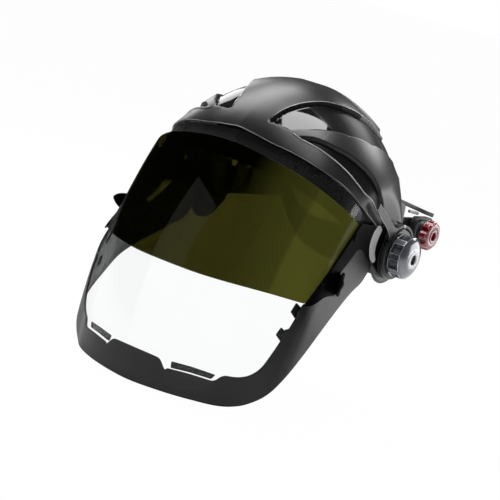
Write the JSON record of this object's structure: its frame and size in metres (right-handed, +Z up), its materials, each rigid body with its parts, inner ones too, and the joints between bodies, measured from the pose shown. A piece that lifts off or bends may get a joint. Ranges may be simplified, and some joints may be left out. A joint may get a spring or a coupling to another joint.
{
  "type": "face shield with flip-up shade visor",
  "caption": "Head-worn face shield: ribbed crown cover, wrap-round clear window, chin guard, flip-up tinted shade, side tension knobs and ratchet headgear.",
  "frame": {"origin": "centre of the bounding box in plan, on the plane of its lowest point", "axes": "+X towards the wearer's left, -Y the way the wearer looks, +Z up; the pivot axis runs along X at y 0.0379 m, z 0.1381 m"},
  "size_m": [0.244, 0.3058, 0.259],
  "materials": {
    "cover_shell": "injection moulded nylon, fine satin texture, black",
    "chin_shell": "injection moulded nylon, satin, black",
    "clear_window": "clear polycarbonate sheet, polished both sides",
    "shade_lens": "dark olive-green tinted sheet, glossy both sides",
    "carrier": "glossy black moulding",
    "fittings": "black moulded fittings, semi-gloss",
    "knob_drum": "black moulded collar behind the knob",
    "knob": "silver-grey metallic-looking plastic, glossy",
    "index_plate": "dark grey moulding with fine ridges",
    "steel": "zinc plated steel",
    "foam": "black foam faced with knitted cloth",
    "housing": "dark grey moulding with fine ridges",
    "dial": "glossy crimson moulding",
    "pale": "pale grey moulding",
    "strap": "flexible black nylon strap"
  },
  "bodies": {
    "headgear": {"index_plate_left": "index_plate", "pivot_bolt_left": "steel", "pivot_bracket_left": "strap", "bracket_rivet_left_front": "steel", "bracket_rivet_left_rear": "steel", "index_plate_right": "index_plate", "pivot_bolt_right": "steel", "pivot_bracket_right": "strap", "bracket_rivet_right_front": "steel", "bracket_rivet_right_rear": "steel", "front_headband": "strap", "sweatband": "foam", "dial_housing": "housing", "crown_strap_left": "strap", "crown_strap_right": "strap", "strap_stud": "pale", "brow_strap": "strap", "side_strap_left": "strap", "strap_tab_left": "pale"},
    "shield": {"crown_cover": "cover_shell", "window_mount_band": "fittings", "clear_window": "clear_window", "chin_guard": "chin_shell", "window_stud_centre": "fittings", "window_stud_left_inner": "fittings", "window_stud_left_outer": "fittings", "window_stud_right_inner": "fittings", "window_stud_right_outer": "fittings", "chin_clip_centre": "fittings", "chin_clip_left_front": "fittings", "chin_clip_right_front": "fittings", "arm_clip_left_upper": "fittings", "arm_clip_left_lower": "fittings", "arm_clip_right_upper": "fittings", "arm_clip_right_lower": "fittings", "pivot_shroud_left": "cover_shell", "pivot_shroud_right": "cover_shell"},
    "flip_visor": {"shade_lens": "shade_lens", "visor_carrier_left": "carrier", "visor_carrier_right": "carrier", "lens_rivet_left_upper": "fittings", "lens_rivet_left_lower": "fittings", "lens_rivet_right_upper": "fittings", "lens_rivet_right_lower": "fittings"},
    "left_knob": {"knob_base_left": "knob_drum", "tension_knob_left": "knob"},
    "right_knob": {"knob_base_right": "knob_drum", "tension_knob_right": "knob"},
    "rear_adjuster": {"rear_band": "strap", "nape_pad": "foam"},
    "dial": {"dial_pinion": "steel", "adjuster_dial": "dial"}
  },
  "joints": [
    {"name": "shield_tilt", "type": "hinge", "parent": "headgear", "child": "shield", "pos_m": [0, 0.0379, 0.13813], "axis": [-1, 0, 0], "range_deg": [-10, 52]},
    {"name": "visor_flip", "type": "hinge", "parent": "shield", "child": "flip_visor", "pos_m": [0, 0.0379, 0.13813], "axis": [-1, 0, 0], "range_deg": [0, 70]},
    {"name": "left_knob_turn", "type": "hinge", "parent": "headgear", "child": "left_knob", "pos_m": [0.114, 0.0379, 0.13813], "axis": [1, 0, 0], "continuous": true},
    {"name": "right_knob_turn", "type": "hinge", "parent": "headgear", "child": "right_knob", "pos_m": [-0.114, 0.0379, 0.13813], "axis": [-1, 0, 0], "continuous": true},
    {"name": "band_slide", "type": "slide", "parent": "headgear", "child": "rear_adjuster", "axis": [0, 1, 0], "range_m": [-0.012, 0.01]},
    {"name": "dial_turn", "type": "hinge", "parent": "headgear", "child": "dial", "pos_m": [0.095, 0.1059, 0.15263], "axis": [1, 0, 0], "range_deg": [-155, 130]}
  ],
  "couplings": [
    {"joint": "dial_turn", "follows": "band_slide", "rad_per_m": 222.22}
  ]
}
